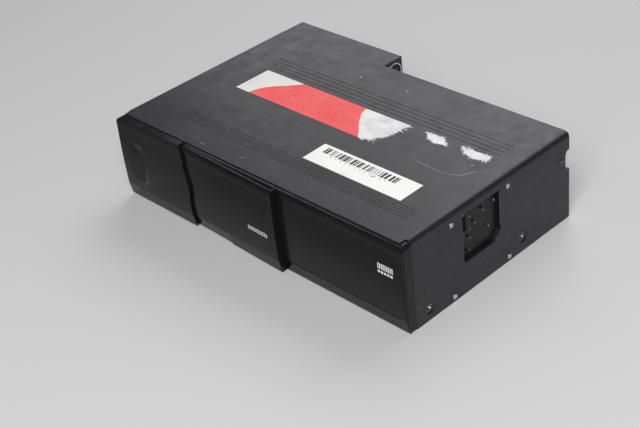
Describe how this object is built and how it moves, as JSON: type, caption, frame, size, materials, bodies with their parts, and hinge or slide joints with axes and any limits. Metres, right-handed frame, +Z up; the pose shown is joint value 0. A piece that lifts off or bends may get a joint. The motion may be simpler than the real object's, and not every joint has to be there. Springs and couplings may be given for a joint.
{
  "type": "car cd changer",
  "caption": "Car disc changer: black steel box with a two-leaf sliding front door, disc magazine, lift and player inside.",
  "frame": {"origin": "middle of the bottom under the whole box, door and rear part included", "axes": "+X to the right end seen from the front, +Y to the back, +Z up; the door is at -Y"},
  "size_m": [0.2568, 0.1732, 0.0616],
  "materials": {
    "cover_paint": "satin black baked paint with fine grain",
    "gloss_black": "polished black plastic",
    "screw_steel": "bright plated steel",
    "zinc_sheet": "zinc-plated sheet",
    "dark_plastic": "moulded black plastic",
    "tray_plastic": "moulded dark grey plastic",
    "gear_plastic": "natural acetal",
    "disc": "metallised disc",
    "rubber": "soft rubber",
    "board": "green laminate",
    "parts": "moulded packages",
    "lens": "coated lens",
    "brass": "turned brass",
    "flex": "flat cable film"
  },
  "bodies": {
    "housing": {"top_cover": "cover_paint", "rear_box": "cover_paint", "rear_panel": "cover_paint", "bottom_cover": "cover_paint", "front_bezel": "gloss_black", "side_screws": "screw_steel", "rear_screws": "screw_steel", "mount_nuts": "zinc_sheet", "selector_plate_right": "zinc_sheet", "selector_plate_left": "zinc_sheet", "din_shell": "screw_steel", "din_insert": "dark_plastic", "inner_frame": "zinc_sheet", "guide_posts": "screw_steel", "dampers": "rubber", "suspension_springs": "screw_steel", "main_board": "board", "board_components": "parts", "flex_cable": "flex", "lift_motor": "screw_steel"},
    "centre_leaf": {"centre_leaf": "gloss_black"},
    "left_leaf": {"left_leaf": "gloss_black"},
    "eject_button": {"eject_button": "gloss_black"},
    "selector_lever_right": {"selector_lever_right": "dark_plastic"},
    "selector_lever_left": {"selector_lever_left": "dark_plastic"},
    "magazine": {"magazine_case": "dark_plastic", "tray_2": "tray_plastic", "disc_2": "disc"},
    "tray_1": {"tray_1": "tray_plastic", "disc_1": "disc"},
    "tray_3": {"tray_3": "tray_plastic", "disc_3": "disc"},
    "tray_4": {"tray_4": "tray_plastic", "disc_4": "disc"},
    "tray_5": {"tray_5": "tray_plastic", "disc_5": "disc"},
    "tray_6": {"tray_6": "tray_plastic", "disc_6": "disc"},
    "eject_lever": {"eject_lever": "zinc_sheet"},
    "lift": {"lift_frame": "zinc_sheet", "traverse_chassis": "dark_plastic", "spindle_motor": "screw_steel", "guide_rods": "screw_steel", "sled_motor": "screw_steel", "puller_rod": "screw_steel"},
    "turntable": {"turntable": "gear_plastic"},
    "pickup": {"pickup": "dark_plastic", "pickup_lens": "lens"},
    "lead_screw": {"lead_screw": "brass"},
    "clamp": {"clamp_arm": "zinc_sheet"},
    "clamp_puck": {"clamp_puck": "gear_plastic"},
    "tray_puller": {"tray_puller": "gear_plastic"},
    "cam_front": {"cam_slider_front": "gear_plastic"},
    "cam_rear": {"cam_slider_rear": "gear_plastic"},
    "lift_gear": {"lift_gear": "gear_plastic"},
    "lift_worm": {"lift_worm": "brass"}
  },
  "joints": [
    {"name": "centre_leaf_slide", "type": "slide", "parent": "housing", "child": "centre_leaf", "axis": [1, 0, 0], "range_m": [0, 0.101]},
    {"name": "left_leaf_slide", "type": "slide", "parent": "centre_leaf", "child": "left_leaf", "axis": [0.9995, -0.0308, 0], "range_m": [0, 0.08]},
    {"name": "eject_button_press", "type": "slide", "parent": "housing", "child": "eject_button", "axis": [0, 1, 0], "range_m": [0, 0.0015], "stiffness_N_per_m": 400, "springref_m": -0.001},
    {"name": "selector_right_turn", "type": "hinge", "parent": "housing", "child": "selector_lever_right", "pos_m": [0.12345, -0.00208, 0.027], "axis": [1, 0, 0], "range_deg": [0, 86]},
    {"name": "selector_left_turn", "type": "hinge", "parent": "housing", "child": "selector_lever_left", "pos_m": [-0.12395, -0.00208, 0.027], "axis": [1, 0, 0], "range_deg": [0, 86]},
    {"name": "magazine_slide", "type": "slide", "parent": "housing", "child": "magazine", "axis": [0, 1, 0], "range_m": [-0.004, 0]},
    {"name": "tray_1_slide", "type": "slide", "parent": "magazine", "child": "tray_1", "axis": [1, 0, 0], "range_m": [0, 0.108]},
    {"name": "tray_3_slide", "type": "slide", "parent": "magazine", "child": "tray_3", "axis": [1, 0, 0], "range_m": [0, 0.108]},
    {"name": "tray_4_slide", "type": "slide", "parent": "magazine", "child": "tray_4", "axis": [1, 0, 0], "range_m": [0, 0.108]},
    {"name": "tray_5_slide", "type": "slide", "parent": "magazine", "child": "tray_5", "axis": [1, 0, 0], "range_m": [0, 0.108]},
    {"name": "tray_6_slide", "type": "slide", "parent": "magazine", "child": "tray_6", "axis": [1, 0, 0], "range_m": [0, 0.108]},
    {"name": "eject_lever_turn", "type": "hinge", "parent": "housing", "child": "eject_lever", "pos_m": [-0.0675, 0.06092, 0.0058], "axis": [0, 0, 1], "range_deg": [-7.7, 0]},
    {"name": "lift_travel", "type": "slide", "parent": "housing", "child": "lift", "axis": [0, 0, -1], "range_m": [-0.0326, 0]},
    {"name": "turntable_spin", "type": "hinge", "parent": "lift", "child": "turntable", "pos_m": [0.0509, -0.00378, 0.013], "axis": [0, 0, 1], "continuous": true},
    {"name": "pickup_slide", "type": "slide", "parent": "lift", "child": "pickup", "axis": [1, 0, 0], "range_m": [0, 0.033]},
    {"name": "lead_screw_spin", "type": "hinge", "parent": "lift", "child": "lead_screw", "pos_m": [0.0905, -0.02218, 0.0078], "axis": [1, 0, 0], "range_deg": [0, 4600]},
    {"name": "clamp_close", "type": "hinge", "parent": "lift", "child": "clamp", "pos_m": [0.1195, -0.00378, 0.023], "axis": [0, 1, 0], "range_deg": [-2.6, 0]},
    {"name": "clamp_puck_spin", "type": "hinge", "parent": "clamp", "child": "clamp_puck", "pos_m": [0.0509, -0.00378, 0.022], "axis": [0, 0, 1], "continuous": true},
    {"name": "tray_puller_slide", "type": "slide", "parent": "lift", "child": "tray_puller", "axis": [1, 0, 0], "range_m": [0, 0.104]},
    {"name": "cam_front_slide", "type": "slide", "parent": "housing", "child": "cam_front", "axis": [1, 0, 0], "range_m": [0, 0.033]},
    {"name": "cam_rear_slide", "type": "slide", "parent": "housing", "child": "cam_rear", "axis": [1, 0, 0], "range_m": [0, 0.033]},
    {"name": "lift_gear_turn", "type": "hinge", "parent": "housing", "child": "lift_gear", "pos_m": [0.0005, -0.06338, 0.006], "axis": [0, 0, 1], "range_deg": [0, 315]},
    {"name": "lift_worm_turn", "type": "hinge", "parent": "housing", "child": "lift_worm", "pos_m": [0.0005, -0.05185, 0.00815], "axis": [1, 0, 0], "range_deg": [0, 10720]}
  ],
  "couplings": [
    {"joint": "cam_front_slide", "follows": "lift_travel", "ratio": -1},
    {"joint": "cam_rear_slide", "follows": "lift_travel", "ratio": -1},
    {"joint": "lift_gear_turn", "follows": "lift_travel", "rad_per_m": -166.67},
    {"joint": "lift_worm_turn", "follows": "lift_travel", "rad_per_m": -5666.7},
    {"joint": "eject_lever_turn", "follows": "magazine_slide", "rad_per_m": 33.333},
    {"joint": "lead_screw_spin", "follows": "pickup_slide", "rad_per_m": 2416.6}
  ]
}
